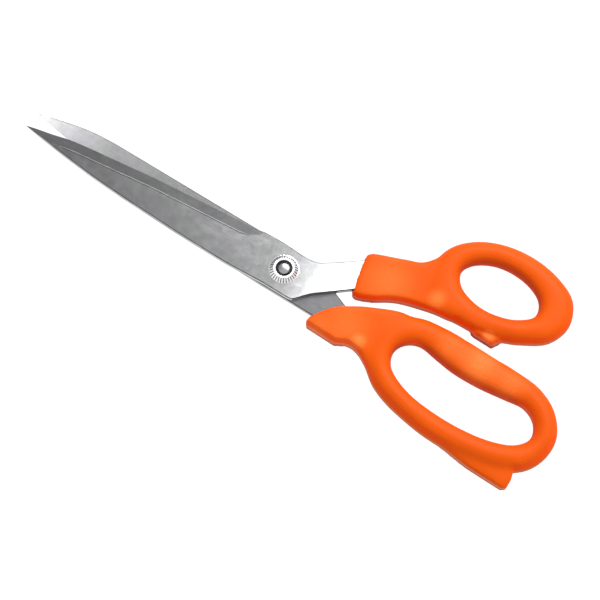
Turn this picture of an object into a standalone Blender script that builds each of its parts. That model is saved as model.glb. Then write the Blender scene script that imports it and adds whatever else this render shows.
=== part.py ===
"""Fabric shears: two ground steel blades on one pivot bolt, with moulded finger and thumb handles.

Run with: blender --background --python part.py

Frame: the origin is the middle of the flat land under the bolt head, on the surface that the shears
lie on. +X runs from the pivot to the handles, +Y to the thumb handle's side, +Z up along the pivot.
The shears lie slightly open, as they rest on a table. Outlines are in millimetres.
"""
import math

import bmesh
import bpy
from mathutils import Vector

MM = 0.001

# Driving dimensions, millimetres.
PLATE = 2.8            # thickness of both blades
GAP = 0.3              # air left between pieces that touch
HEAD_HEIGHT = 1.7      # bolt head under the finger blade
HANDLE_HEIGHT = 10.0   # the handles lie on the table and stand this high
SLAB_INSET = 0.9       # the front of each handle is this much thinner than its bow, on each face
TAB_LOW = 2.8          # stop lug and spur: their undersides and their narrower tops
TAB_TOP = 7.0
BOW_ROUND = 4.4        # rounding of the bows
SLAB_ROUND = 1.7       # rounding of the handles' fronts
SHANK_R = 2.60         # round part of the bolt
RUNNING = 0.08         # radial clearance of what turns on the bolt
SHANK_DOME = 1.0       # height of the bolt's domed end
SHANK_SINK = 0.2       # the dome's top lies this far below the nut's
NECK = 6.0             # square neck of the bolt
NECK_SINK = 0.2        # the neck stops this far below the finger blade's upper face
HEAD_R = 5.6
HEAD_RIM = 0.3         # straight height of the head's rim
HEAD_LAND_R = 3.4      # flat land under the head
NUT_R = 6.15
NUT_HEIGHT = 2.5
NUT_RIM = 0.6          # straight height of the nut's rim
NUT_SHOULDER = 0.35    # step between the rim and the ribbed slope
RECESS_R = 3.4         # recess in the nut's top, round the bolt's end
RECESS_DEPTH = 1.0
CREST = 0.7            # width of the nut's flat crest
CREST_CHAMFER = 0.2
SEAT_R = 5.5           # washer seat under the nut
RIB_COUNT = 30
RIB_DEPTH = 0.24
WASHER_R = 5.1
WASHER_T = 0.4
EDGE_LAND = 0.25       # what the grinding leaves of the plate at the cutting edge
GRIND_WIDTH = 4.7      # width of the ground bevel

FINGER_Z = HEAD_HEIGHT + GAP
THUMB_Z = FINGER_Z + PLATE + GAP
NUT_Z = THUMB_Z + PLATE + GAP

# Outlines. Each is a list of runs: a run is either smooth through its points or straight between them.
SMOOTH = "smooth"
STRAIGHT = "straight"

THUMB_EDGE = [(-125.4, -5.9), (-120.6, -4.6), (-113.5, -3.0), (-104.0, -0.6),
              (-88.0, 1.6), (-66.0, 4.6), (-44.0, 6.8), (-24.0, 8.7), (-15.0, 9.3)]
THUMB_PLATE = [
    (SMOOTH, THUMB_EDGE + [(-6.0, 9.7), (4.0, 9.4), (9.5, 10.3), (13.6, 12.8), (19.0, 17.0), (24.5, 21.2)]),
    (STRAIGHT, [(44.5, 30.6), (47.6, 29.8), (48.2, 26.6), (33.0, 15.0), (28.0, 8.7)]),
    (SMOOTH, [(21.8, 3.5), (14.6, -2.6), (10.6, -7.4)]),
    (SMOOTH, [(9.4, -8.6), (7.4, -9.0)]),
    (SMOOTH, [(-4.0, -9.2), (-14.0, -9.9), (-24.4, -10.4), (-46.9, -10.5), (-69.2, -10.3), (-83.4, -9.9),
              (-94.0, -9.3), (-106.2, -8.3), (-117.0, -7.1)]),
]

FINGER_EDGE = [(-125.6, 1.5), (-120.0, 0.6), (-106.0, -1.3), (-94.0, -3.1), (-83.0, -4.2),
               (-69.0, -5.5), (-47.0, -7.1), (-24.0, -8.7), (-16.0, -9.2)]
FINGER_PLATE = [
    (SMOOTH, FINGER_EDGE + [(-8.0, -9.3), (4.0, -9.1), (19.5, -8.9)]),
    (STRAIGHT, [(36.0, -7.8), (45.0, -8.4), (46.6, -6.8), (46.6, -3.2), (45.0, -1.6), (34.0, -0.6)]),
    (SMOOTH, [(28.3, 1.9), (22.9, 4.0), (11.4, 8.3), (4.0, 9.4), (-8.0, 9.8), (-21.6, 9.7), (-37.2, 9.3),
              (-52.9, 9.0), (-68.7, 8.7), (-84.6, 8.4), (-93.0, 8.0), (-100.4, 7.3), (-107.5, 6.0),
              (-114.4, 4.3), (-121.0, 2.5)]),
]

THUMB_BOW = [(49.3, 36.0), (50.1, 44.4), (55.4, 51.4), (62.8, 56.5), (72.6, 59.8), (83.8, 60.6),
             (94.9, 58.5), (104.1, 53.5), (108.2, 43.6), (105.0, 33.7), (96.9, 27.6), (88.6, 23.5),
             (79.0, 21.0), (69.4, 20.3), (60.9, 19.5), (53.4, 23.4)]
THUMB_HOLE = [(60.0, 39.7), (63.0, 34.6), (68.8, 31.9), (75.5, 30.9), (82.6, 31.9), (89.4, 34.7),
              (94.6, 39.8), (92.8, 45.9), (86.4, 49.6), (78.0, 50.8), (69.7, 49.4), (62.9, 45.3)]
THUMB_SLAB = [
    (STRAIGHT, [(24.7, 24.5), (24.7, 18.9), (26.2, 13.0), (28.2, 7.4), (29.7, 6.8)]),
    (SMOOTH, [(32.8, 7.9), (37.2, 10.2), (41.8, 13.3), (47.0, 15.7), (54.8, 18.0), (60.4, 19.1),
              (66.5, 20.2), (68.5, 22.5)]),
    (SMOOTH, [(64.5, 26.0), (58.5, 30.0), (54.6, 36.0), (55.5, 45.0)]),
    (SMOOTH, [(52.1, 45.5), (48.9, 38.9), (44.9, 33.9), (39.4, 31.5), (34.1, 29.3), (28.6, 27.1),
              (26.0, 25.9)]),
]
THUMB_LUG = [(75.0, 27.0), (75.3, 21.4), (77.3, 19.7), (86.4, 19.7), (87.3, 20.6), (89.3, 25.2),
             (88.5, 29.0)]
THUMB_LUG_TOP = [(77.0, 28.0), (77.0, 23.2), (79.2, 21.4), (86.6, 21.4), (86.9, 21.7), (88.0, 26.0),
                 (87.5, 29.5)]

FINGER_BOW = [(45.2, -4.5), (46.2, 3.4), (50.4, 10.4), (58.2, 14.1), (67.5, 15.5), (78.0, 16.1),
              (89.3, 16.1), (100.5, 16.0), (111.6, 15.1), (121.2, 10.5), (127.5, 2.3), (128.3, -6.8),
              (124.9, -15.2), (118.0, -20.9), (108.4, -24.2), (96.5, -26.0), (84.0, -26.3), (73.1, -25.1),
              (62.6, -22.9), (53.4, -18.8), (46.9, -12.2)]
FINGER_HOLE = [(55.4, -3.8), (57.5, -9.4), (63.7, -13.2), (72.6, -15.6), (83.8, -16.4), (95.0, -15.9),
               (105.7, -14.0), (114.8, -10.3), (119.3, -4.5), (117.0, 1.6), (110.5, 4.8), (101.7, 3.7),
               (90.9, 2.2), (80.0, 1.8), (71.1, 2.8), (63.1, 3.8), (57.8, 1.2)]
FINGER_SLAB = [
    (STRAIGHT, [(19.3, -12.8), (19.6, -10.4)]),
    (SMOOTH, [(22.4, -5.6), (25.8, -1.4), (30.2, 1.8), (35.0, 4.8), (40.1, 7.4), (45.1, 9.8),
              (50.8, 11.8), (56.5, 11.7)]),
    (SMOOTH, [(55.5, 8.0), (50.2, 3.0), (49.6, -4.0), (51.5, -10.0), (56.0, -15.5)]),
    (SMOOTH, [(53.7, -18.0), (48.5, -14.8), (44.3, -12.4), (40.3, -11.4), (36.9, -11.9)]),
    (STRAIGHT, [(33.2, -13.9), (20.3, -13.8)]),
]
FINGER_SPUR = [(90.0, -21.0), (91.3, -26.4), (105.3, -27.6), (113.6, -27.5), (119.9, -27.5), (121.6, -26.2),
               (121.4, -22.7), (119.0, -16.5), (106.0, -19.5)]
FINGER_SPUR_TOP = [(91.0, -20.6), (92.0, -25.6), (105.3, -26.9), (113.5, -26.9), (119.6, -26.8),
                   (120.8, -25.8), (120.8, -22.7), (118.4, -16.5), (106.0, -19.0)]

PIVOT_PARENT = "thumb_side"


def clear_scene():
    for old in list(bpy.data.objects):
        bpy.data.objects.remove(old, do_unlink=True)


def collection(name):
    made = bpy.data.collections.new(name)
    bpy.context.scene.collection.children.link(made)
    return made


def material(name, colour, roughness, metallic):
    made = bpy.data.materials.new(name)
    made.use_nodes = True
    shader = made.node_tree.nodes["Principled BSDF"]
    shader.inputs["Base Color"].default_value = (*colour, 1.0)
    shader.inputs["Roughness"].default_value = roughness
    shader.inputs["Metallic"].default_value = metallic
    return made


def catmull(a, b, c, d, t):
    """A point between b and c on the Catmull-Rom curve through a, b, c, d."""
    return tuple(0.5 * (2 * b[i] + (c[i] - a[i]) * t + (2 * a[i] - 5 * b[i] + 4 * c[i] - d[i]) * t * t
                        + (3 * b[i] - a[i] - 3 * c[i] + d[i]) * t ** 3) for i in range(len(b)))


def smooth_run(points, steps):
    """Points along a smooth open curve through the given ones."""
    line = []
    for i in range(len(points) - 1):
        before = points[max(i - 1, 0)]
        after = points[min(i + 2, len(points) - 1)]
        line += [catmull(before, points[i], points[i + 1], after, k / steps) for k in range(steps)]
    return line + [points[-1]]


def smooth_loop(points, steps):
    """Points along a smooth closed curve through the given ones."""
    count = len(points)
    line = []
    for i in range(count):
        four = [points[(i + k) % count] for k in (-1, 0, 1, 2)]
        line += [catmull(*four, k / steps) for k in range(steps)]
    return line


def outline(runs, steps):
    """One closed polygon from runs that are smooth or straight."""
    line = []
    for kind, points in runs:
        line += smooth_run(points, steps) if kind == SMOOTH else points
    return line


def grown(polygon, distance):
    """The polygon with each side moved outward by the distance."""
    area = sum(a[0] * b[1] - b[0] * a[1] for a, b in zip(polygon, polygon[1:] + polygon[:1]))
    side = 1 if area > 0 else -1
    moved = []
    for i, point in enumerate(polygon):
        here = Vector(point)
        into = (here - Vector(polygon[i - 1])).normalized()
        out_of = (Vector(polygon[(i + 1) % len(polygon)]) - here).normalized()
        normal_in = Vector((into.y, -into.x)) * side
        normal_out = Vector((out_of.y, -out_of.x)) * side
        middle = (normal_in + normal_out).normalized()
        moved.append(tuple(here + middle * distance / max(middle.dot(normal_in), 0.5)))
    return moved


def plate_mesh(name, loops, low, high, rounding=0.0, rounding_steps=0):
    """A mesh between two heights with the given outer and inner loops and rounded rims."""
    curve = bpy.data.curves.new(name, "CURVE")
    curve.dimensions = "2D"
    curve.fill_mode = "BOTH"
    curve.extrude = ((high - low) / 2 - rounding) * MM
    curve.bevel_depth = rounding * MM
    curve.offset = -rounding * MM
    curve.bevel_resolution = rounding_steps
    for loop in loops:
        spline = curve.splines.new("POLY")
        spline.points.add(len(loop) - 1)
        for point, (x, y) in zip(spline.points, loop):
            point.co = (x * MM, y * MM, 0.0, 1.0)
        spline.use_cyclic_u = True
    holder = bpy.data.objects.new(name, curve)
    bpy.context.scene.collection.objects.link(holder)
    bpy.context.view_layer.update()
    mesh = bpy.data.meshes.new_from_object(holder.evaluated_get(bpy.context.evaluated_depsgraph_get()))
    bpy.data.objects.remove(holder, do_unlink=True)
    work = bmesh.new()
    work.from_mesh(mesh)
    bmesh.ops.remove_doubles(work, verts=work.verts, dist=0.002 * MM)
    bmesh.ops.translate(work, verts=work.verts, vec=(0.0, 0.0, (low + high) / 2 * MM))
    bmesh.ops.recalc_face_normals(work, faces=work.faces)
    work.to_mesh(mesh)
    work.free()
    mesh.name = name
    return mesh


def add(name, mesh, where, paint=None):
    made = bpy.data.objects.new(name, mesh)
    where.objects.link(made)
    if paint:
        mesh.materials.clear()
        mesh.materials.append(paint)
    return made


def as_cutter(made):
    made.hide_render = True
    made.display_type = "WIRE"
    return made


def combine(made, other, operation):
    step = made.modifiers.new(operation.lower() + "_" + other.name, "BOOLEAN")
    step.operation = operation
    step.solver = "EXACT"
    step.object = other


def turned(name, profile, where, paint, steps=48):
    """A turned piece on the pivot axis, from (radius, height) points running down its outer side."""
    mesh = bpy.data.meshes.new(name)
    points = [(r * MM, 0.0, z * MM) for r, z in profile]
    mesh.from_pydata(points, [(i, i + 1) for i in range(len(points) - 1)], [])
    made = add(name, mesh, where, paint)
    screw = made.modifiers.new("turn", "SCREW")
    screw.steps = steps
    screw.render_steps = steps
    screw.use_merge_vertices = True
    screw.merge_threshold = 0.00001
    screw.use_smooth_shade = True
    return made


def cylinder_cutter(name, radius, low, high, where, segments=48):
    mesh = bpy.data.meshes.new(name)
    work = bmesh.new()
    bmesh.ops.create_cone(work, cap_ends=True, segments=segments, radius1=radius * MM, radius2=radius * MM,
                          depth=(high - low) * MM)
    bmesh.ops.translate(work, verts=work.verts, vec=(0, 0, (low + high) / 2 * MM))
    work.to_mesh(mesh)
    work.free()
    return as_cutter(add(name, mesh, where))


def box(name, half, low, high, where):
    mesh = bpy.data.meshes.new(name)
    work = bmesh.new()
    bmesh.ops.create_cube(work, size=1.0)
    bmesh.ops.scale(work, verts=work.verts, vec=(2 * half * MM, 2 * half * MM, (high - low) * MM))
    bmesh.ops.translate(work, verts=work.verts, vec=(0, 0, (low + high) / 2 * MM))
    work.to_mesh(mesh)
    work.free()
    return as_cutter(add(name, mesh, where))


def tapered(name, wide, narrow, low, high, where):
    """A flat block whose lower loop is wider than its upper one, so that its walls slope."""
    mesh = bpy.data.meshes.new(name)
    work = bmesh.new()
    foot = [work.verts.new((x * MM, y * MM, low * MM)) for x, y in wide]
    top = [work.verts.new((x * MM, y * MM, high * MM)) for x, y in narrow]
    for i in range(len(foot)):
        k = (i + 1) % len(foot)
        work.faces.new((foot[i], foot[k], top[k], top[i]))
    work.faces.new(foot)
    work.faces.new(top)
    bmesh.ops.recalc_face_normals(work, faces=work.faces)
    work.to_mesh(mesh)
    work.free()
    return as_cutter(add(name, mesh, where))


def grind_cutter(name, edge, inward, mating_z, outward_z, where):
    """The wheel's path along a cutting edge: a bar whose flank leaves the bevel and lifts out at the heel.

    inward is +1 or -1, the side of the edge on which the blade lies, seen along the edge from the tip.
    outward_z is +1 when the bevel is on the plate's upper face and -1 when it is on its lower face.
    """
    stations = smooth_run(edge, 4)
    first = Vector(stations[0]) * 2 - Vector(stations[4])
    stations = [tuple(first)] + stations
    drop = PLATE - EDGE_LAND
    over = 0.35                       # the flank runs on past both ends of the bevel by this share
    runout = 9.0                      # length over which the wheel lifts out at the heel
    heel = stations[-1][0]
    mesh = bpy.data.meshes.new(name)
    work = bmesh.new()
    rings = []
    for i, here in enumerate(stations):
        before = Vector(stations[max(i - 1, 0)])
        after = Vector(stations[min(i + 1, len(stations) - 1)])
        along = (after - before).normalized()
        across = Vector((-along.y, along.x)) * inward
        lift = drop * max(0.0, 1 - (heel - here[0]) / runout) ** 2
        near = Vector(here) - across * GRIND_WIDTH * over
        far = Vector(here) + across * GRIND_WIDTH * (1 + over)
        near_z = EDGE_LAND - drop * over + lift
        far_z = PLATE + drop * over + lift
        section = [(near, near_z), (far, far_z), (near, far_z)]
        corners = [(p.x * MM, p.y * MM, (mating_z + outward_z * z) * MM) for p, z in section]
        rings.append([work.verts.new(corner) for corner in corners])
    for a, b in zip(rings, rings[1:]):
        for k in range(3):
            work.faces.new((a[k], a[(k + 1) % 3], b[(k + 1) % 3], b[k]))
    work.faces.new(rings[0])
    work.faces.new(rings[-1])
    bmesh.ops.recalc_face_normals(work, faces=work.faces)
    work.to_mesh(mesh)
    work.free()
    return as_cutter(add(name, mesh, where))


def finger_blade(parts, cutters, steel):
    """Lower blade. Its mating face is its upper face, so its bevel is ground below."""
    top = FINGER_Z + PLATE
    plate = plate_mesh("finger_blade", [outline(FINGER_PLATE, 3)], FINGER_Z, top)
    blade = add("finger_blade", plate, parts, steel)
    combine(blade, grind_cutter("finger_grind", FINGER_EDGE, 1, top, -1, cutters), "DIFFERENCE")
    combine(blade, box("neck_hole", NECK / 2 + GAP, FINGER_Z - 1, top + 1, cutters), "DIFFERENCE")
    return blade


def thumb_blade(parts, cutters, steel):
    """Upper blade. Its mating face is its lower face, so its bevel is ground above."""
    top = THUMB_Z + PLATE
    plate = plate_mesh("thumb_blade", [outline(THUMB_PLATE, 3)], THUMB_Z, top)
    blade = add("thumb_blade", plate, parts, steel)
    combine(blade, grind_cutter("thumb_grind", THUMB_EDGE, -1, THUMB_Z, 1, cutters), "DIFFERENCE")
    hole = cylinder_cutter("shank_hole", SHANK_R + RUNNING, THUMB_Z - 1, top + 1, cutters)
    combine(blade, hole, "DIFFERENCE")
    return blade


def handle(name, bow, hole, slab, tab, tab_top, blade_plate, blade_z, parts, cutters, plastic):
    """A moulded handle: a rounded bow, a flatter front slab, a thin tab and the pocket for the tang."""
    loops = [smooth_loop(bow, 4), smooth_loop(hole, 4)]
    made = add(name, plate_mesh(name, loops, 0.0, HANDLE_HEIGHT, BOW_ROUND, 2), parts, plastic)
    slab_top = HANDLE_HEIGHT - SLAB_INSET
    front = plate_mesh(name + "_front", [outline(slab, 3)], SLAB_INSET, slab_top, SLAB_ROUND, 1)
    combine(made, as_cutter(add(name + "_front", front, cutters)), "UNION")
    combine(made, tapered(name + "_tab", tab, tab_top, TAB_LOW, TAB_TOP, cutters), "UNION")
    pocket = grown(outline(blade_plate, 3), GAP)
    room = plate_mesh(name + "_pocket", [pocket], blade_z - GAP, blade_z + PLATE + GAP)
    combine(made, as_cutter(add(name + "_pocket", room, cutters)), "DIFFERENCE")
    return made


def quarter_arc(steps=6):
    """Angles from 0 to 90 degrees."""
    return [math.pi / 2 * k / steps for k in range(steps + 1)]


def pivot_bolt(parts, cutters, steel):
    """Domed head with a flat land, a square neck in the finger blade and a round shank with a domed end."""
    tip = NUT_Z + NUT_HEIGHT - SHANK_SINK
    skirt = HEAD_HEIGHT - HEAD_RIM
    dome = [(SHANK_R * math.sin(a), tip - SHANK_DOME * (1 - math.cos(a))) for a in quarter_arc()]
    flare = HEAD_R - HEAD_LAND_R
    under = [(HEAD_LAND_R + flare * math.cos(a), skirt * (1 - math.sin(a))) for a in quarter_arc()]
    profile = dome + [(SHANK_R, HEAD_HEIGHT), (HEAD_R, HEAD_HEIGHT)] + under + [(0.0, 0.0)]
    bolt = turned("pivot_bolt", profile, parts, steel)
    neck_low = HEAD_HEIGHT - GAP
    neck_high = FINGER_Z + PLATE - NECK_SINK
    combine(bolt, box("square_neck", NECK / 2, neck_low, neck_high, cutters), "UNION")
    return bolt


def pivot_nut(parts, steel):
    """Low ring nut, lofted round its axis, because grooves between ribs cut its sloping rim."""
    low = NUT_Z
    top = low + NUT_HEIGHT
    bore = SHANK_R + RUNNING
    seat = low + 2 * GAP + WASHER_T
    floor = top - RECESS_DEPTH
    crest = RECESS_R + CREST_CHAMFER
    inside = [(bore, seat), (bore, floor), (RECESS_R, floor), (RECESS_R, top - CREST_CHAMFER), (crest, top),
              (crest + CREST, top)]
    slope = [(crest + CREST + CREST_CHAMFER, top - CREST_CHAMFER / 2),
             (NUT_R - NUT_SHOULDER, low + NUT_RIM + NUT_SHOULDER)]
    outside = [(NUT_R, low + NUT_RIM), (NUT_R, low), (SEAT_R, low), (SEAT_R, seat)]
    grooves = [(r - RIB_DEPTH / 2, z - RIB_DEPTH) for r, z in slope]
    steps = 4 * RIB_COUNT
    work = bmesh.new()
    rings = []
    for k in range(steps):
        turn = 2 * math.pi * k / steps
        profile = inside + (grooves if k % 4 < 2 else slope) + outside
        corners = [(r * math.cos(turn) * MM, r * math.sin(turn) * MM, z * MM) for r, z in profile]
        rings.append([work.verts.new(corner) for corner in corners])
    count = len(inside + slope + outside)
    for a, b in zip(rings, rings[1:] + rings[:1]):
        for i in range(count):
            work.faces.new((a[i], a[(i + 1) % count], b[(i + 1) % count], b[i]))
    bmesh.ops.recalc_face_normals(work, faces=work.faces)
    mesh = bpy.data.meshes.new("pivot_nut")
    work.to_mesh(mesh)
    work.free()
    return add("pivot_nut", mesh, parts, steel)


def spring_washer(parts, steel):
    """Washer in the nut's seat, round the bolt."""
    inner = SHANK_R + GAP
    low = NUT_Z
    high = low + WASHER_T
    profile = [(inner, high), (WASHER_R, high), (WASHER_R, low), (inner, low), (inner, high)]
    return turned("spring_washer", profile, parts, steel)


def main():
    clear_scene()
    parts = collection("fabric_shears")
    cutters = collection("cutters")
    steel = material("blade_steel", (0.55, 0.55, 0.56), 0.32, 1.0)
    bright = material("bright_steel", (0.68, 0.68, 0.68), 0.22, 1.0)
    plastic = material("orange_plastic", (0.93, 0.16, 0.02), 0.4, 0.0)

    finger_blade(parts, cutters, steel)
    handle("finger_handle", FINGER_BOW, FINGER_HOLE, FINGER_SLAB, FINGER_SPUR, FINGER_SPUR_TOP,
           FINGER_PLATE, FINGER_Z, parts, cutters, plastic)
    pivot_bolt(parts, cutters, bright)
    spring_washer(parts, bright)
    pivot_nut(parts, bright)

    thumb_side = bpy.data.objects.new(PIVOT_PARENT, None)
    parts.objects.link(thumb_side)
    moving = [
        thumb_blade(parts, cutters, steel),
        handle("thumb_handle", THUMB_BOW, THUMB_HOLE, THUMB_SLAB, THUMB_LUG, THUMB_LUG_TOP,
               THUMB_PLATE, THUMB_Z, parts, cutters, plastic),
    ]
    for piece in moving:
        piece.parent = thumb_side


main()
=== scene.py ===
"""Looks of the fabric shears: satin orange handles, ground steel blades and a bright pivot on a pale floor.

Lengths are in millimetres, but the places and sizes of the camera, the lamp and the floor are in metres.
Colours are linear.
"""
import math

import bmesh
import bpy
import numpy as np
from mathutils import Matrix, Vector, kdtree


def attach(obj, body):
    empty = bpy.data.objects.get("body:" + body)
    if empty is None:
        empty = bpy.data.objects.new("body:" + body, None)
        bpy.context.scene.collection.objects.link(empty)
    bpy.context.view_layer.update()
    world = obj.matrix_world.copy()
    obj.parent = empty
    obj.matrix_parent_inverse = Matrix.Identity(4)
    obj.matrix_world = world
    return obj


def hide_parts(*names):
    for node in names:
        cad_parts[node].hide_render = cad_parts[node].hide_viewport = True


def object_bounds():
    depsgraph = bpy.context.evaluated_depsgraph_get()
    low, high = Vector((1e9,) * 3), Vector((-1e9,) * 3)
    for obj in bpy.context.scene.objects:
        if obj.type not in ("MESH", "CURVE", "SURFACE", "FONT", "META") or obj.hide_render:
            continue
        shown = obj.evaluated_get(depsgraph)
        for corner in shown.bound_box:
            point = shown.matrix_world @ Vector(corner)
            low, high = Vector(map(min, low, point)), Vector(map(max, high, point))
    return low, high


MM = 0.001

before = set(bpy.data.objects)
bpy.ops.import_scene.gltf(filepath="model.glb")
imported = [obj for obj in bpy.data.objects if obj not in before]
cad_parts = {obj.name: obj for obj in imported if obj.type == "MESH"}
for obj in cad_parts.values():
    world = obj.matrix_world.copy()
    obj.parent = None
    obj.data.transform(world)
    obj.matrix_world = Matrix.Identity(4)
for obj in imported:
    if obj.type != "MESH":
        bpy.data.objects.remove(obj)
cad_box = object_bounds()

# ---- Camera and light ----

# The camera stands high over the shears, on the finger bow's side.
CAMERA_AZIMUTH = math.radians(33.6)
CAMERA_ELEVATION = math.radians(72.0)
CAMERA_DISTANCE = 0.740
LENS = 110.3
SENSOR_WIDTH = 36.0
PIVOT_TOP = Vector((0.0, 0.0, 0.011))
AIM_RIGHT = 0.00644      # the middle of the view lies this far right of the pivot
AIM_DOWN = 0.01309       # and this far below it

KEY_PLACE = (-0.02, 0.64, 0.78)
KEY_SIZE = (0.8, 0.45)
KEY_POWER = 16.0
ROOM_BEYOND = 0.42       # strength of the room beyond the shears
ROOM_BEHIND = 0.70       # and of the room behind the camera
ROOM_TURN = (-0.25, 0.45)    # the two blend between these directions: -1 is behind the camera, 1 is beyond
ROOM_LOW = 0.45          # what a white backdrop adds just above the floor
LOW_END = 0.45           # and up to which direction: 0 is level, 1 is straight up
FLOOR_GREY = 0.32
FLOOR_GLOW = 0.62        # keeps the floor an even white under and round the shears
FLOOR_SIZE = 6.0
FLOOR_DROP = 0.0001      # the floor lies this far under the shears

# ---- Plastic ----

# The real mouldings are probably of one colour. The colours of the flanks and lower walls are painted light,
# and the darker colours of the foot and the hole walls are painted shade.
BODY_DEEP = (0.57, 0.067, 0.0006)
BODY_PALE = (0.62, 0.076, 0.0008)
FLANK = (0.92, 0.063, 0.0002)
LOWER_WALL = (0.58, 0.135, 0.0500)
FOOT = (0.38, 0.055, 0.018)
HOLE_WALL = (0.54, 0.046, 0.0020)
PALE = (0.80, 0.170, 0.032)
STEEP = (0.40, 0.85)     # the flank's colour fades out as the normal's z rises through this range
FOOT_FADE = (3.2, 5.4)   # and the foot's as the height does
HOLE_FADE = 1.1          # the holes' colour ends at this share of their reach

# Paler spots, as x, y, z, radius and strength. The first six are broad paler patches. The first six may be
# wear or a soft reflection in the photo. The last three are painted highlights: glints at the folds and a
# brighter top on the lug.
PALE_SPOTS = [(38.0, 19.0, 9.0, 15.0, 0.45), (34.0, -6.0, 9.0, 14.0, 0.40), (87.0, 9.5, 10.0, 12.0, 0.80),
              (74.0, 9.0, 10.0, 9.0, 0.40), (101.0, 9.0, 10.0, 10.0, 0.50), (24.0, -13.0, 6.0, 8.0, 0.50),
              (58.3, 23.6, 8.5, 5.5, 0.90), (41.6, -8.6, 8.6, 4.5, 0.90), (83.6, 21.4, 7.9, 4.0, 1.20)]

# The finger holes as ellipses, whose walls get the painted shade: the middle, then the reach of the walls
# round them.
HOLES = [(77.0, 41.0, 20.0, 12.5), (87.0, -5.0, 32.5, 12.5)]

# ---- Shape of the handles ----

VOXEL = 0.4
WALL_FROM, WALL_SPAN = 0.45, 0.3     # walls start at this level share of the normal, and fade in over this
TOP_FROM, TOP_SPAN = 0.3, 0.5        # and tops at this z of the normal
OUTER_LEAN = 0.15        # a wall that faces the finger hole by more than this is one of the hole's
UPRIGHT = 0.8            # the outline is read off from points that count as a wall by this much
PARTING_Z = 7.0          # the lower mould half stands proud of the upper one below this height
LIP = 0.25
LIP_FADE = 0.3
FLUSH_REACH = 4.0        # the lip fades out over this distance round the stop
RIM_BAND = 0.4           # the outline is read off from wall points this near to a handle's rim height
RIM_INSET = 0.45         # and is this much inside the widest outline
OVERHANG = 0.35          # points further out than this from the outline are left alone
FLANK_SLOPE = 1.6        # rise of the flanks above the parting line, for each millimetre inwards
FRONT_STEP = 1.4         # the fronts' chamfers start this far above the parting line
FRONT_SLOPE = 0.95       # and rise by this for each millimetre inwards
FRONT_END = 34.0         # the handles' fronts end at this x
CLEAR = 5.0              # lifts a slope off the walls that it doesn't belong to
SLAB_END = 44.0          # the bows' soft crowns start at this x
BOW_BLEND = 12.0         # and have faded in over this much more
SLAB_CROWN = 0.10        # share of the rounding that the flat fronts get
CRISP_REACH = 2.5        # edges within this of a crisp line are hardly rounded
CRISP_SHARE = 0.95
EVEN_ROUNDS = 6
SHRINK, SWELL = 0.5, -0.52
SOFT_ROUNDS = 70
PIP_HEIGHT = 0.8
PIP_RADIUS = 0.9

# The thumb handle's stop lug, as heights with loops of plan points.
LUG_FOOT = [(74.4, 26.0), (74.7, 22.9), (78.0, 20.2), (86.5, 20.2), (88.2, 23.1), (89.0, 25.8), (88.4, 28.0)]
LUG_TOP = [(77.0, 27.0), (77.1, 23.2), (78.8, 21.0), (86.0, 21.0), (87.2, 22.6), (88.1, 25.8), (87.8, 28.0)]
LUG = [(0.8, LUG_FOOT), (6.8, LUG_FOOT), (7.9, LUG_TOP)]

# The finger handle's nose: flat walls that slope to a crisp top edge.
NOSE_FOOT = [(19.8, -10.2), (19.3, -12.8), (20.3, -13.8), (33.2, -13.9), (36.4, -12.0), (37.0, -8.0),
             (24.0, -6.0)]
NOSE_TOP = [(21.4, -9.8), (20.9, -11.9), (21.2, -12.2), (33.0, -12.9), (35.4, -11.6), (36.5, -8.0),
            (24.6, -6.2)]
NOSE = [(1.2, NOSE_FOOT), (5.0, NOSE_FOOT), (9.1, NOSE_TOP)]

# The finger handle's spur.
SPUR_FOOT = [(90.0, -21.0), (91.3, -26.2), (105.3, -27.4), (119.9, -27.4), (121.5, -26.2), (121.4, -22.7),
             (119.0, -14.5), (106.0, -17.5)]
SPUR_TOP = [(91.0, -20.6), (92.0, -25.4), (105.3, -26.7), (119.6, -26.6), (120.7, -25.8), (120.8, -22.7),
            (118.4, -14.5), (106.0, -17.0)]
SPUR = [(2.0, SPUR_FOOT), (6.8, SPUR_FOOT), (7.8, SPUR_TOP)]

# What handle() needs of each handle:
#   hole    the middle of the finger hole, then the x up to which every wall is an outer one
#   rim_z   a height at which the outline is clear of the lug or spur and of the tang's pocket
#   blocks  crisp masses that are set into it
#   folds   where one mass runs into another: plan points, and the width that each is blended over
#   crisp   plan points of the edges that stay crisp
#   flush   plan points where the lip is left off, because the lug stops against them
#   pip     the place of a small moulding pip
THUMB_SHAPE = {
    "hole": (77.0, 41.0, 58.0),
    "rim_z": 2.3,
    "blocks": [LUG],
    "folds": [([(50.0, 46.0), (51.5, 33.0), (55.0, 27.0), (57.5, 22.5), (62.0, 20.0)], 3.5),
              ([(73.0, 25.5), (80.0, 25.2), (90.0, 26.3)], 1.6)],
    "crisp": [(88.5, 23.5), (82.0, 22.5), (76.0, 22.0), (46.3, 17.2), (41.0, 14.7), (36.4, 11.6), (30.3, 8.6),
              (28.3, 13.9), (26.8, 23.5)],
    "pip": (36.4, 9.2, 4.2),
}
FINGER_SHAPE = {
    "hole": (87.0, -6.5, 54.0),
    "rim_z": 8.0,
    "blocks": [NOSE, SPUR],
    "folds": [([(54.0, 12.5), (47.0, 6.0), (45.4, 1.2), (46.5, -4.3), (48.5, -9.3), (53.0, -17.0)], 3.5),
              ([(93.0, -25.5), (103.0, -23.6), (111.0, -21.2), (118.0, -18.0)], 1.8)],
    "crisp": [(20.0, -11.5), (20.5, -13.0), (34.0, -13.0)],
    "flush": [(78.0, 16.3), (91.0, 16.2)],
}

# ---- Shape of the blades, nut and bolt ----

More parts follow.
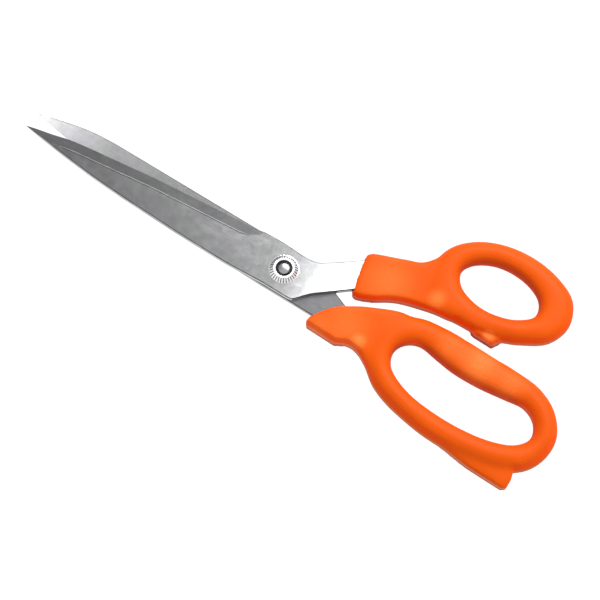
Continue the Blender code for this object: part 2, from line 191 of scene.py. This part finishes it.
BURR_WIDTH = 0.65
BURR_CREST = 0.35
BURR_HEIGHT = 0.025
BURR_ROOT = 0.1          # the burr reaches this far into the blade
BURR_TAPER = 10.0        # and grows to its full size over this length at each end
BURR_TIP = 0.02          # share of its size that it starts with
ARRIS = 0.32             # width of the chamfer along the blades' spines and shanks, painted dark as a painted reflection
TALL_WALL = 1.5          # only walls higher than this get the chamfer, so the cutting edges stay keen
HOLE_CLEAR = 7.0         # and only those outside the pivot's holes
WALL_FOOT = (6.0, 6.6)   # the thumb blade's walls are painted darker below these heights, as painted shade
LEVEL = 0.01             # heights closer than this are the same
GRIND_TURN = (8.0, 45.0)     # the grind line turns by this many degrees, and an arris by more
ARRISES, GROUND, BURR = 1, 2, 3      # places in a blade's list of materials
RIB_INNER = 4.6
RIB_OUTER = 5.9
FACET_TURN = 3.0         # the nut's rim has a facet every 3 degrees
RIB_FACETS = 4           # and one in four is a groove
RECESS_DEPTH = 0.25
BROKEN_EDGE = 0.05


class Nodes:
    """The node tree of a material or a world, built with short calls."""

    def __init__(self, owner, shader):
        owner.use_nodes = True
        self.owner = owner
        self.tree = owner.node_tree
        self.shader = self.tree.nodes[shader]

    def add(self, kind, inputs=None, **settings):
        node = self.tree.nodes.new(kind)
        for key, value in settings.items():
            setattr(node, key, value)
        for key, value in (inputs or {}).items():
            if isinstance(value, bpy.types.NodeSocket):
                self.tree.links.new(value, node.inputs[key])
            else:
                node.inputs[key].default_value = value
        return node

    def put(self, key, value):
        socket = self.shader.inputs[key]
        if isinstance(value, bpy.types.NodeSocket):
            self.tree.links.new(value, socket)
        else:
            socket.default_value = value

    def place(self, scale=(1.0, 1.0, 1.0)):
        """Object coordinates in metres, stretched by three factors."""
        coords = self.add("ShaderNodeTexCoord").outputs["Object"]
        return self.add("ShaderNodeMapping", {"Vector": coords, "Scale": scale}).outputs["Vector"]

    def part(self, vector, axis):
        return self.add("ShaderNodeSeparateXYZ", {"Vector": vector}).outputs[axis]

    def normal_z(self):
        """The z of the surface's normal: one on a flat top and zero on an upright wall."""
        return self.part(self.add("ShaderNodeNewGeometry").outputs["Normal"], "Z")

    def noise(self, vector, scale, detail=3.0, rough=0.5, distortion=0.0):
        inputs = {"Vector": vector, "Scale": scale, "Detail": detail, "Roughness": rough,
                  "Distortion": distortion}
        return self.add("ShaderNodeTexNoise", inputs).outputs["Fac"]

    def spread(self, value, low, high, from_low=0.3, from_high=0.7, fade="LINEAR"):
        inputs = {"Value": value, "From Min": from_low, "From Max": from_high, "To Min": low, "To Max": high}
        return self.add("ShaderNodeMapRange", inputs, interpolation_type=fade).outputs["Result"]

    def below(self, height, low, high):
        """One below the lower height in millimetres, zero above the higher one."""
        return self.spread(height, 1.0, 0.0, low * MM, high * MM)

    def tint(self, value, dark, light):
        return self.blend(self.spread(value, 0.0, 1.0), dark, light)

    def math(self, operation, first, second=0.0):
        return self.add("ShaderNodeMath", {0: first, 1: second}, operation=operation).outputs[0]

    def blend(self, share, first, second):
        """One colour for a share of zero, the other for one."""
        mix = self.add("ShaderNodeMix", data_type="RGBA")
        self.tree.links.new(share, mix.inputs[0])
        for key, value in ((6, first), (7, second)):
            if isinstance(value, bpy.types.NodeSocket):
                self.tree.links.new(value, mix.inputs[key])
            else:
                mix.inputs[key].default_value = (*value, 1.0)
        return mix.outputs[2]

    def patch(self, vector, x, y, z, radius):
        """One at a point in millimetres, falling smoothly to zero at the radius."""
        centre = (x * MM, y * MM, z * MM)
        gap = self.add("ShaderNodeVectorMath", {0: vector, 1: centre}, operation="DISTANCE").outputs["Value"]
        return self.spread(gap, 0.0, 1.0, radius * MM, 0.0, "SMOOTHSTEP")

    def inside_ellipse(self, vector, x, y, reach_x, reach_y):
        """One inside an upright elliptic hole in millimetres, zero a little beyond its walls."""
        inputs = {"Vector": vector, "Location": (-x / reach_x, -y / reach_y, 0.0),
                  "Scale": (1 / (reach_x * MM), 1 / (reach_y * MM), 0.0)}
        spot = self.add("ShaderNodeMapping", inputs).outputs["Vector"]
        reach = self.add("ShaderNodeVectorMath", {0: spot}, operation="LENGTH").outputs["Value"]
        return self.spread(reach, 1.0, 0.0, 1.0, HOLE_FADE)

    def bump(self, height, distance, strength, before=None):
        inputs = {"Height": height, "Distance": distance, "Strength": strength}
        if before is not None:
            inputs["Normal"] = before
        return self.add("ShaderNodeBump", inputs).outputs["Normal"]

    def ramp(self, along, stops):
        """A value that changes with the distance along the blades: stops are (x in millimetres, value)."""
        first, last = stops[0][0], stops[-1][0]
        node = self.add("ShaderNodeValToRGB", {"Fac": self.spread(along, 0.0, 1.0, first * MM, last * MM)})
        for x, value in stops[1:-1]:
            node.color_ramp.elements.new((x - first) / (last - first))
        node.color_ramp.elements[-1].position = 1.0
        for element, (x, value) in zip(node.color_ramp.elements, stops):
            element.color = (value, value, value, 1.0)
        return node.outputs["Color"]


def new_material(name):
    return Nodes(bpy.data.materials.new(name), "Principled BSDF")


def camera():
    level = Vector((math.sin(CAMERA_AZIMUTH), -math.cos(CAMERA_AZIMUTH), 0.0))
    back = level * math.cos(CAMERA_ELEVATION) + Vector((0, 0, math.sin(CAMERA_ELEVATION)))
    right = Vector((math.cos(CAMERA_AZIMUTH), math.sin(CAMERA_AZIMUTH), 0.0))
    up = back.cross(right)
    made = bpy.data.objects.new("camera", bpy.data.cameras.new("camera"))
    made.data.lens = LENS
    made.data.sensor_width = SENSOR_WIDTH
    made.data.clip_start = 0.02
    made.location = PIVOT_TOP + right * AIM_RIGHT - up * AIM_DOWN + back * CAMERA_DISTANCE
    made.rotation_euler = back.to_track_quat("Z", "Y").to_euler()
    bpy.context.scene.collection.objects.link(made)
    bpy.context.scene.camera = made


def studio():
    """A pale room, brighter behind the camera and just above the floor, and a soft key light beyond.

    The key light casts no shadow.
    """
    n = Nodes(bpy.data.worlds.new("studio"), "Background")
    sky = n.add("ShaderNodeTexCoord").outputs["Generated"]
    away = (-math.sin(CAMERA_AZIMUTH), math.cos(CAMERA_AZIMUTH), 0.0)
    depth = n.add("ShaderNodeVectorMath", {0: sky, 1: away}, operation="DOT_PRODUCT").outputs["Value"]
    room = n.spread(depth, ROOM_BEHIND, ROOM_BEYOND, *ROOM_TURN, "SMOOTHSTEP")
    low = n.spread(n.part(sky, "Z"), ROOM_LOW, 0.0, 0.0, LOW_END, "SMOOTHSTEP")
    n.put("Strength", n.math("ADD", room, low))
    n.put("Color", (1.0, 1.0, 1.0, 1.0))
    bpy.context.scene.world = n.owner
    bpy.context.scene.view_settings.view_transform = "Standard"

    key = bpy.data.objects.new("key_light", bpy.data.lights.new("key_light", "AREA"))
    key.data.shape = "RECTANGLE"
    key.data.size, key.data.size_y = KEY_SIZE
    key.data.energy = KEY_POWER
    key.data.use_shadow = False
    key.location = KEY_PLACE
    key.rotation_euler = Vector(KEY_PLACE).to_track_quat("Z", "Y").to_euler()
    bpy.context.scene.collection.objects.link(key)


def floor():
    n = new_material("floor")
    n.put("Base Color", (FLOOR_GREY, FLOOR_GREY, FLOOR_GREY, 1.0))
    n.put("Roughness", 0.9)
    n.put("Specular IOR Level", 0.1)
    n.put("Emission Color", (1.0, 1.0, 1.0, 1.0))
    n.put("Emission Strength", FLOOR_GLOW)
    bpy.ops.mesh.primitive_plane_add(size=FLOOR_SIZE, location=(0, 0, cad_box[0][2] - FLOOR_DROP))
    made = bpy.context.object
    made.name = "floor"
    made.data.materials.append(n.owner)


def plastic():
    """Satin orange plastic with paler patches and painted highlights, painted light on its redder flanks and
    paler lower walls, and painted shade at its foot and on its hole walls.
    """
    n = new_material("orange_plastic")
    even = n.place()
    cloud = n.noise(even, 55.0, 2.0)
    grain = n.noise(even, 2600.0, 2.0, 0.6)
    ripple = n.noise(even, 300.0, 3.0, 0.6)
    speck = n.noise(even, 900.0, 3.0, 0.7)
    pale = 0.0
    # Paler patches, and painted highlights at the folds and on the lug.
    for x, y, z, radius, strength in PALE_SPOTS:
        pale = n.math("ADD", pale, n.math("MULTIPLY", n.patch(even, x, y, z, radius), strength))
    pale = n.math("MULTIPLY", pale, n.spread(speck, 0.75, 1.25))
    height = n.part(even, "Z")
    # Painted light on the flanks and lower walls, and painted shade towards the foot and on the hole walls.
    wall = n.blend(n.below(height, PARTING_Z - 0.3, PARTING_Z - 0.1), FLANK, LOWER_WALL)
    wall = n.blend(n.below(height, *FOOT_FADE), wall, FOOT)
    for hole in HOLES:
        wall = n.blend(n.inside_ellipse(even, *hole), wall, HOLE_WALL)
    steepness = n.spread(n.normal_z(), 1.0, 0.0, *STEEP)
    body = n.blend(steepness, n.tint(cloud, BODY_DEEP, BODY_PALE), wall)
    n.put("Base Color", n.blend(pale, body, PALE))
    n.put("Roughness", n.spread(grain, 0.44, 0.56))
    n.put("Normal", n.bump(grain, 0.00003, 0.4, n.bump(ripple, 0.00008, 0.3)))
    n.put("Specular IOR Level", 0.08)
    return n.owner


def steel(name, shades, finish, mottle, walls=None):
    """Ground steel whose shade and roughness change along the blade, with its own shades on upright walls.
    The shades are painted reflection, and the walls' darker foot is painted shade.
    """
    n = new_material(name)
    even = n.place()
    drawn = n.place((0.10, 1.0, 1.0))
    smudge = n.noise(even, 150.0, 4.0, 0.6, 0.8)
    patch = n.noise(even, 420.0, 3.0, 0.6, 0.4)
    strokes = n.noise(drawn, 1500.0, 3.0, 0.7)
    along = n.part(even, "X")
    marks = n.math("ADD", n.spread(smudge, -mottle, mottle), n.spread(patch, -mottle, mottle))
    marks = n.math("ADD", marks, n.spread(strokes, -0.4 * mottle, 0.4 * mottle))
    factor = n.math("ADD", marks, 1.0)
    tone = n.tint(n.noise(even, 90.0, 2.0), (0.97, 1.0, 0.98), (1.0, 0.98, 1.03))
    shade = n.ramp(along, shades)
    if walls:
        # Painted shade: the walls darker towards their foot.
        foot = n.below(n.part(even, "Z"), *WALL_FOOT)
        wall = n.blend(foot, n.ramp(along, walls), (0.10, 0.10, 0.10))
        upright = n.spread(n.math("ABSOLUTE", n.normal_z()), 1.0, 0.0, 0.2, 0.4)
        shade = n.blend(upright, shade, wall)
    toned = n.add("ShaderNodeVectorMath", {0: shade, 1: tone}, operation="MULTIPLY").outputs[0]
    shaded = n.add("ShaderNodeVectorMath", {0: toned, "Scale": factor}, operation="SCALE").outputs[0]
    n.put("Base Color", shaded)
    n.put("Roughness", n.math("ADD", n.ramp(along, finish), n.spread(smudge, -0.006, 0.006)))
    n.put("Metallic", 1.0)
    n.put("Normal", n.bump(strokes, 0.00001, 0.10))
    return n.owner


def plain_steel(name, shade, roughness, mottle):
    """Steel of one shade, but for its smudges and strokes."""
    return steel(name, [(-130, shade), (130, shade)], [(-130, roughness), (130, roughness)], mottle)


def copy_of(node, name):
    """A new piece with the CAD node's mesh, the doubled points along its edges merged."""
    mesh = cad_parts[node].data.copy()
    mesh.name = name
    made = bpy.data.objects.new(name, mesh)
    bpy.context.scene.collection.objects.link(made)
    work = bmesh.new()
    work.from_mesh(mesh)
    bmesh.ops.remove_doubles(work, verts=work.verts, dist=0.000001)
    work.to_mesh(mesh)
    work.free()
    return made


def enlist(piece, node, body):
    """Put the piece on its body, in the CAD node's place."""
    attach(piece, body)
    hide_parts(node)


def paint(piece, *looks):
    piece.data.materials.clear()
    for look in looks:
        piece.data.materials.append(look)


def remeshed(piece):
    """Rebuild the piece's mesh from even voxels, which joins what overlaps."""
    remesh = piece.modifiers.new("remesh", "REMESH")
    remesh.mode = "VOXEL"
    remesh.voxel_size = VOXEL * MM
    bpy.context.view_layer.update()
    done = bpy.data.meshes.new_from_object(piece.evaluated_get(bpy.context.evaluated_depsgraph_get()))
    piece.modifiers.clear()
    piece.data = done
    return done


def nearness(points, line, spread):
    """One at the line of plan points in millimetres, falling to zero away from it."""
    best = np.full(len(points), np.inf)
    for (ax, ay), (bx, by) in zip(line, line[1:]):
        start = np.array((ax, ay)) * MM
        run = np.array((bx - ax, by - ay)) * MM
        share = np.clip(((points[:, :2] - start) @ run) / (run @ run), 0.0, 1.0)
        gap = points[:, :2] - start - share[:, None] * run
        best = np.minimum(best, np.hypot(gap[:, 0], gap[:, 1]))
    return np.exp(-(best / (spread * MM)) ** 2)


def smooth_step(values):
    share = np.clip(values, 0.0, 1.0)
    return share * share * (3.0 - 2.0 * share)


def mesh_arrays(mesh):
    """The mesh's points and normals, one row each."""
    points = np.empty(len(mesh.vertices) * 3)
    normals = np.empty(len(mesh.vertices) * 3)
    mesh.vertices.foreach_get("co", points)
    mesh.vertices.foreach_get("normal", normals)
    return points.reshape(-1, 3), normals.reshape(-1, 3)


def set_points(mesh, points):
    mesh.vertices.foreach_set("co", points.ravel())
    mesh.update()


def sides(points, normals, hole):
    """For each point: which way its wall faces in plan, how upright it is, and whether it's an outer wall."""
    flat = normals.copy()
    flat[:, 2] = 0.0
    length = np.maximum(np.linalg.norm(flat, axis=1), 1e-6)
    flat /= length[:, None]
    wall = np.clip((length - WALL_FROM) / WALL_SPAN, 0.0, 1.0)
    back = np.array(hole[:2]) * MM - points[:, :2]
    inward = np.sum(back * flat[:, :2], axis=1)
    outer = (inward < OUTER_LEAN * np.linalg.norm(back, axis=1)) | (points[:, 0] < hole[2] * MM)
    return flat, wall, outer


def shed(mesh, hole, rim_z):
    """Slope the flanks on the camera's side down to the parting line, and chamfer the fronts' top edges."""
    points, normals = mesh_arrays(mesh)
    flat, wall, outer = sides(points, normals, hole)
    rim = np.nonzero((wall > UPRIGHT) & outer & (np.abs(points[:, 2] - rim_z * MM) < RIM_BAND * MM))[0]
    tree = kdtree.KDTree(len(rim))
    for k, i in enumerate(rim):
        edge = points[i] + RIM_INSET * MM * flat[i]
        tree.insert((edge[0], edge[1], 0.0), k)
    tree.balance()
    # Near is one on walls that face the camera's side, and front is one on the walls towards the blades.
    facing = flat[rim, 0] * math.sin(CAMERA_AZIMUTH) - flat[rim, 1] * math.cos(CAMERA_AZIMUTH)
    near = smooth_step(0.6 + 0.7 * facing)
    front = smooth_step(-1.6 * flat[rim, 0] - 0.4) * (points[rim, 0] < FRONT_END * MM)
    for i in np.nonzero(points[:, 2] > PARTING_Z * MM)[0]:
        spot, k, gap = tree.find((points[i, 0], points[i, 1], 0.0))
        inside = (spot[0] - points[i, 0]) * flat[rim[k], 0] + (spot[1] - points[i, 1]) * flat[rim[k], 1]
        if inside < -OVERHANG * MM:
            continue
        flank = PARTING_Z + FLANK_SLOPE * max(inside, 0.0) / MM + CLEAR * (1.0 - near[k])
        chamfer = PARTING_Z + FRONT_STEP + FRONT_SLOPE * max(inside, 0.0) / MM + CLEAR * (1.0 - front[k])
        points[i, 2] = min(points[i, 2], flank * MM, chamfer * MM)
    set_points(mesh, points)


def relax(mesh, folds, crisp):
    """Even out the surface, round the bow's tops into soft crowns and blend the folds between the masses."""
    count = len(mesh.vertices)
    points, normals = mesh_arrays(mesh)
    flatness = np.abs(normals[:, 2])
    ends = np.empty(len(mesh.edges) * 2, dtype=np.int64)
    mesh.edges.foreach_get("vertices", ends)
    a, b = ends.reshape(-1, 2).T
    valence = np.bincount(np.concatenate((a, b)), minlength=count)

    def pull(axis):
        total = np.bincount(a, points[b, axis], count) + np.bincount(b, points[a, axis], count)
        return total / valence - points[:, axis]

    for turn in range(EVEN_ROUNDS):
        for share in (SHRINK, SWELL):
            moves = np.stack([pull(axis) for axis in range(3)], axis=1)
            points = points + share * moves
    on_bow = smooth_step((points[:, 0] / MM - SLAB_END) / BOW_BLEND)
    sharp = nearness(points, crisp, CRISP_REACH)
    crown = np.clip((flatness - TOP_FROM) / TOP_SPAN, 0.0, 1.0) * (1.0 - CRISP_SHARE * sharp)
    crown = crown * (SLAB_CROWN + (1.0 - SLAB_CROWN) * on_bow)
    for turn in range(SOFT_ROUNDS):
        points[:, 2] += 0.5 * crown * pull(2)
    weight = np.max([nearness(points, line, spread) for line, spread in folds], axis=0)
    for turn in range(SOFT_ROUNDS):
        moves = np.stack([pull(axis) for axis in range(3)], axis=1)
        points = points + 0.5 * weight[:, None] * moves
    set_points(mesh, points)


def mould(mesh, hole, flush, pip):
    """Let the lower mould half stand proud along the outer walls, and leave a moulding pip."""
    points, normals = mesh_arrays(mesh)
    flat, wall, outer = sides(points, normals, hole)
    below = smooth_step((PARTING_Z * MM - points[:, 2]) / (LIP_FADE * MM) + 0.5)
    push = LIP * MM * wall * below * outer
    if flush:
        push *= 1.0 - nearness(points, flush, FLUSH_REACH)
    if pip:
        gap = np.linalg.norm(points - np.array(pip) * MM, axis=1)
        push += PIP_HEIGHT * MM * np.exp(-(gap / (PIP_RADIUS * MM)) ** 2) * wall
    points += flat * push[:, None]
    set_points(mesh, points)


def add_block(mesh, loops):
    """Put a block into the mesh, lofted through loops of plan points at rising heights, in millimetres."""
    work = bmesh.new()
    work.from_mesh(mesh)
    rings = [[work.verts.new((x * MM, y * MM, z * MM)) for x, y in loop] for z, loop in loops]
    for a, b in zip(rings, rings[1:]):
        for k in range(len(a)):
            work.faces.new((a[k - 1], a[k], b[k], b[k - 1]))
    work.faces.new(rings[0])
    work.faces.new(rings[-1])
    bmesh.ops.recalc_face_normals(work, faces=work.faces)
    work.to_mesh(mesh)
    work.free()


def handle(node, name, body, look, hole, rim_z, blocks, folds, crisp, flush=None, pip=None):
    """A handle with soft crowns and sloping flanks, and its crisp blocks set into it."""
    piece = copy_of(node, name)
    mesh = remeshed(piece)
    shed(mesh, hole, rim_z)
    for block in blocks:
        add_block(mesh, block)
    mesh = remeshed(piece)
    relax(mesh, folds, crisp)
    mould(mesh, hole, flush, pip)
    for face in mesh.polygons:
        face.use_smooth = True
    paint(piece, look)
    enlist(piece, node, body)


def chain(edges):
    """The points of a run of edges, in order, from the end with the lowest x."""
    links = {}
    for edge in edges:
        for here, there in (edge.verts, reversed(edge.verts)):
            links.setdefault(here, []).append(there)
    ends = [vert for vert, others in links.items() if len(others) == 1]
    here = min(ends, key=lambda vert: vert.co.x)
    line = [here]
    while True:
        onward = [other for other in links[here] if other not in line]
        if not onward:
            return [vert.co.copy() for vert in line]
        here = onward[0]
        line.append(here)


def is_tall_wall(face):
    heights = [vert.co.z for vert in face.verts]
    return abs(face.normal.z) < 0.5 and max(heights) - min(heights) > TALL_WALL * MM


def sort_edges(work, outward):
    """Mark the arrises to be broken, and return the edges of the grind line on the outward face."""
    weight = work.edges.layers.float.new("bevel_weight_edge")
    face_z = max(vert.co.z * outward for vert in work.verts)
    seam = []
    for edge in work.edges:
        a, b = edge.verts
        if len(edge.link_faces) != 2 or abs(a.co.z - b.co.z) > LEVEL * MM:
            continue
        turn = math.degrees(edge.calc_face_angle())
        on_face = abs(a.co.z * outward - face_z) < LEVEL * MM
        if on_face and GRIND_TURN[0] < turn < GRIND_TURN[1]:
            seam.append(edge)
        clear = a.co.xy.length > HOLE_CLEAR * MM
        if clear and turn > GRIND_TURN[1] and any(is_tall_wall(face) for face in edge.link_faces):
            edge[weight] = 1.0
    return seam


def add_burr(work, line, outward):
    """Lay a fine ridge on the outward face along the grind line, tapering towards both ends."""
    section = [(BURR_WIDTH, 0.0), (BURR_CREST, BURR_HEIGHT), (0.0, 0.0), (BURR_CREST, -BURR_ROOT)]
    gone = 0.0
    left = sum((b - a).length for a, b in zip(line, line[1:]))
    rings = []
    for i, here in enumerate(line):
        along = (line[min(i + 1, len(line) - 1)] - line[max(i - 1, 0)]).normalized()
        across = Vector((-along.y, along.x, 0.0)).normalized()
        if across.y * outward > 0:
            across = -across
        taper = max(BURR_TIP, min(1.0, gone / (BURR_TAPER * MM), left / (BURR_TAPER * MM)))
        corners = [here + (across * d + Vector((0, 0, outward * z))) * taper * MM for d, z in section]
        rings.append([work.verts.new(corner) for corner in corners])
        if i + 1 < len(line):
            step = (line[i + 1] - here).length
            gone += step
            left -= step
    for a, b in zip(rings, rings[1:]):
        for k in range(4):
            made = work.faces.new((a[k], a[(k + 1) % 4], b[(k + 1) % 4], b[k]))
            # The burr's face towards the spine takes the dark arris steel, a painted reflection.
            made.material_index = ARRISES if k == 0 else BURR
    work.faces.new(rings[0])
    work.faces.new(rings[-1])


def blade(node, name, body, looks, outward):
    """A blade with chamfered arrises painted dark as a painted reflection, and a fine burr along the grind
    line of its upper (1) or lower (-1) face.
    """
    piece = copy_of(node, name)
    paint(piece, *looks)
    work = bmesh.new()
    work.from_mesh(piece.data)
    bmesh.ops.dissolve_limit(work, angle_limit=math.radians(1.0), verts=work.verts, edges=work.edges)
    seam = sort_edges(work, outward)
    for face in work.faces:
        face.material_index = GROUND if 0.5 < face.normal.z * outward < 0.999 else 0
    add_burr(work, chain(seam), outward)
    bmesh.ops.recalc_face_normals(work, faces=work.faces)
    work.to_mesh(piece.data)
    work.free()
    bevel = piece.modifiers.new("arrises", "BEVEL")
    bevel.width = ARRIS * MM
    bevel.segments = 1
    bevel.limit_method = "WEIGHT"
    bevel.material = ARRISES
    bevel.use_clamp_overlap = False
    enlist(piece, node, body)


def nut(node, name, body, look, painted_shade):
    """The pivot nut, with painted shade in the grooves between its ribs and in the recess round the bolt."""
    piece = copy_of(node, name)
    paint(piece, look, painted_shade)
    top = max(vert.co.z for vert in piece.data.vertices)
    work = bmesh.new()
    work.from_mesh(piece.data)
    for face in work.faces:
        middle = face.calc_center_median()
        reach = math.hypot(middle.x, middle.y)
        facet = int(math.degrees(math.atan2(middle.y, middle.x)) % 360.0 / FACET_TURN)
        on_ribs = RIB_INNER * MM < reach < RIB_OUTER * MM and face.normal.z > 0.2
        in_recess = reach < RIB_INNER * MM and middle.z < top - RECESS_DEPTH * MM
        # The grooves and the recess take the near-black steel, as painted shade.
        face.material_index = 1 if in_recess or on_ribs and facet % RIB_FACETS == 0 else 0
        face.smooth = False
    work.to_mesh(piece.data)
    work.free()
    enlist(piece, node, body)


def carried(node, look):
    """Keep the CAD node, with a look of its own and its sharp edges broken."""
    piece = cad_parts[node]
    paint(piece, look)
    bevel = piece.modifiers.new("edges", "BEVEL")
    bevel.width = BROKEN_EDGE * MM
    bevel.segments = 2
    bevel.limit_method = "ANGLE"
    bevel.angle_limit = math.radians(30.0)


camera()
studio()
floor()

orange = plastic()
handle("thumb_handle", "thumb_grip", "thumb_side", orange, **THUMB_SHAPE)
handle("finger_handle", "finger_grip", "finger_side", orange, **FINGER_SHAPE)

# Shades and roughnesses along the blades, from the tips at low x to the shanks. The shades are painted
# reflection, standing in for what the steel mirrors: the real blades are probably more even. The arris, burr
# and ground shades and the thumb blade's wall shades are painted reflection too.
arris = plain_steel("arris_steel", 0.06, 0.45, 0.10)
burr = steel("burr_steel", [(-130, 0.20), (-80, 0.15), (0, 0.12)], [(-130, 0.35), (0, 0.35)], 0.10)
ground = steel("ground_steel", [(-125, 0.165), (-110, 0.18), (-75, 0.20), (-50, 0.24), (-20, 0.29)],
               [(-125, 0.26), (-20, 0.26)], 0.08)
thumb_steel = steel("thumb_steel",
                    [(-125, 0.16), (-100, 0.21), (-75, 0.225), (-50, 0.235), (-25, 0.30), (-10, 0.31),
                     (3, 0.38), (12, 0.75), (20, 0.95)],
                    [(-125, 0.26), (20, 0.26)], 0.10,
                    walls=[(-125, 0.50), (8, 0.55), (14, 0.28), (48, 0.16)])
finger_steel = steel("finger_steel",
                     [(-125, 1.0), (-115, 0.80), (-105, 0.55), (-90, 0.35), (-70, 0.27), (-50, 0.24),
                      (10, 0.34), (40, 0.34)],
                     [(-125, 0.30), (-60, 0.28), (10, 0.20), (40, 0.20)], 0.07)
blade("thumb_blade", "thumb_cutter", "thumb_side", (thumb_steel, arris, ground, burr), 1)
blade("finger_blade", "finger_cutter", "finger_side", (finger_steel, arris, ground, burr), -1)

bright = plain_steel("bright_steel", 0.95, 0.30, 0.03)
nut("pivot_nut", "ribbed_nut", "tension_nut", bright, plain_steel("painted_shade_steel", 0.02, 0.60, 0.30))
carried("pivot_bolt", plain_steel("bolt_steel", 0.52, 0.26, 0.05))
carried("spring_washer", bright)
